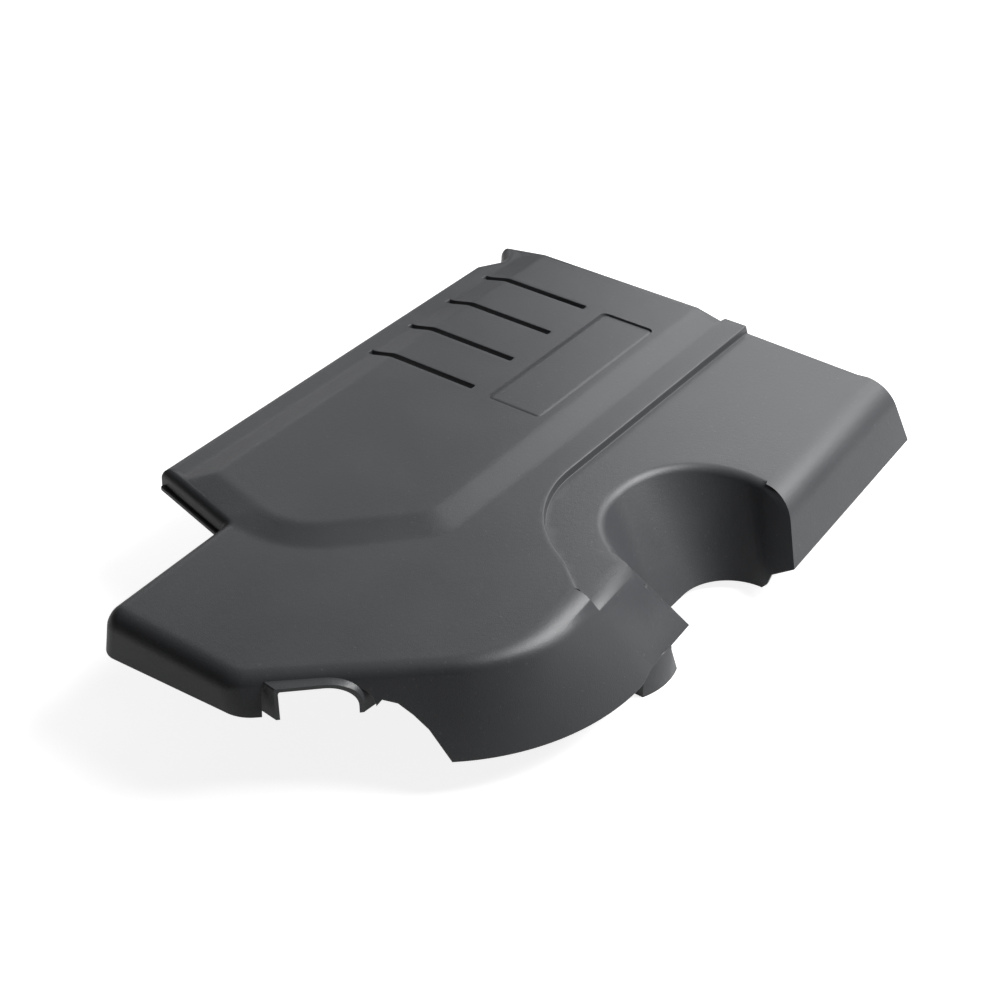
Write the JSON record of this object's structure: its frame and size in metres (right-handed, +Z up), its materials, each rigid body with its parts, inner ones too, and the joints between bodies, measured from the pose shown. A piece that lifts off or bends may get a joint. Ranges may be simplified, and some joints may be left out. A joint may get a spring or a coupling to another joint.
{
  "type": "engine cover",
  "caption": "Moulded plastic engine cover with a raised slotted panel, a stepped right plate, a round bay and hollow mounting posts underneath.",
  "frame": {"origin": "centre of the front left post's socket, at its foot, on the plane that the four posts stand on", "axes": "+Z up out of the raised panel, +Y from the front wall towards the back edge along the cover's length, +X from the sloping left shoulder towards the right wall"},
  "size_m": [0.4094, 0.5873, 0.095],
  "materials": {
    "moulding": "finely grained matt black moulding"
  },
  "bodies": {
    "root": {"cover": "moulding"}
  },
  "joints": []
}
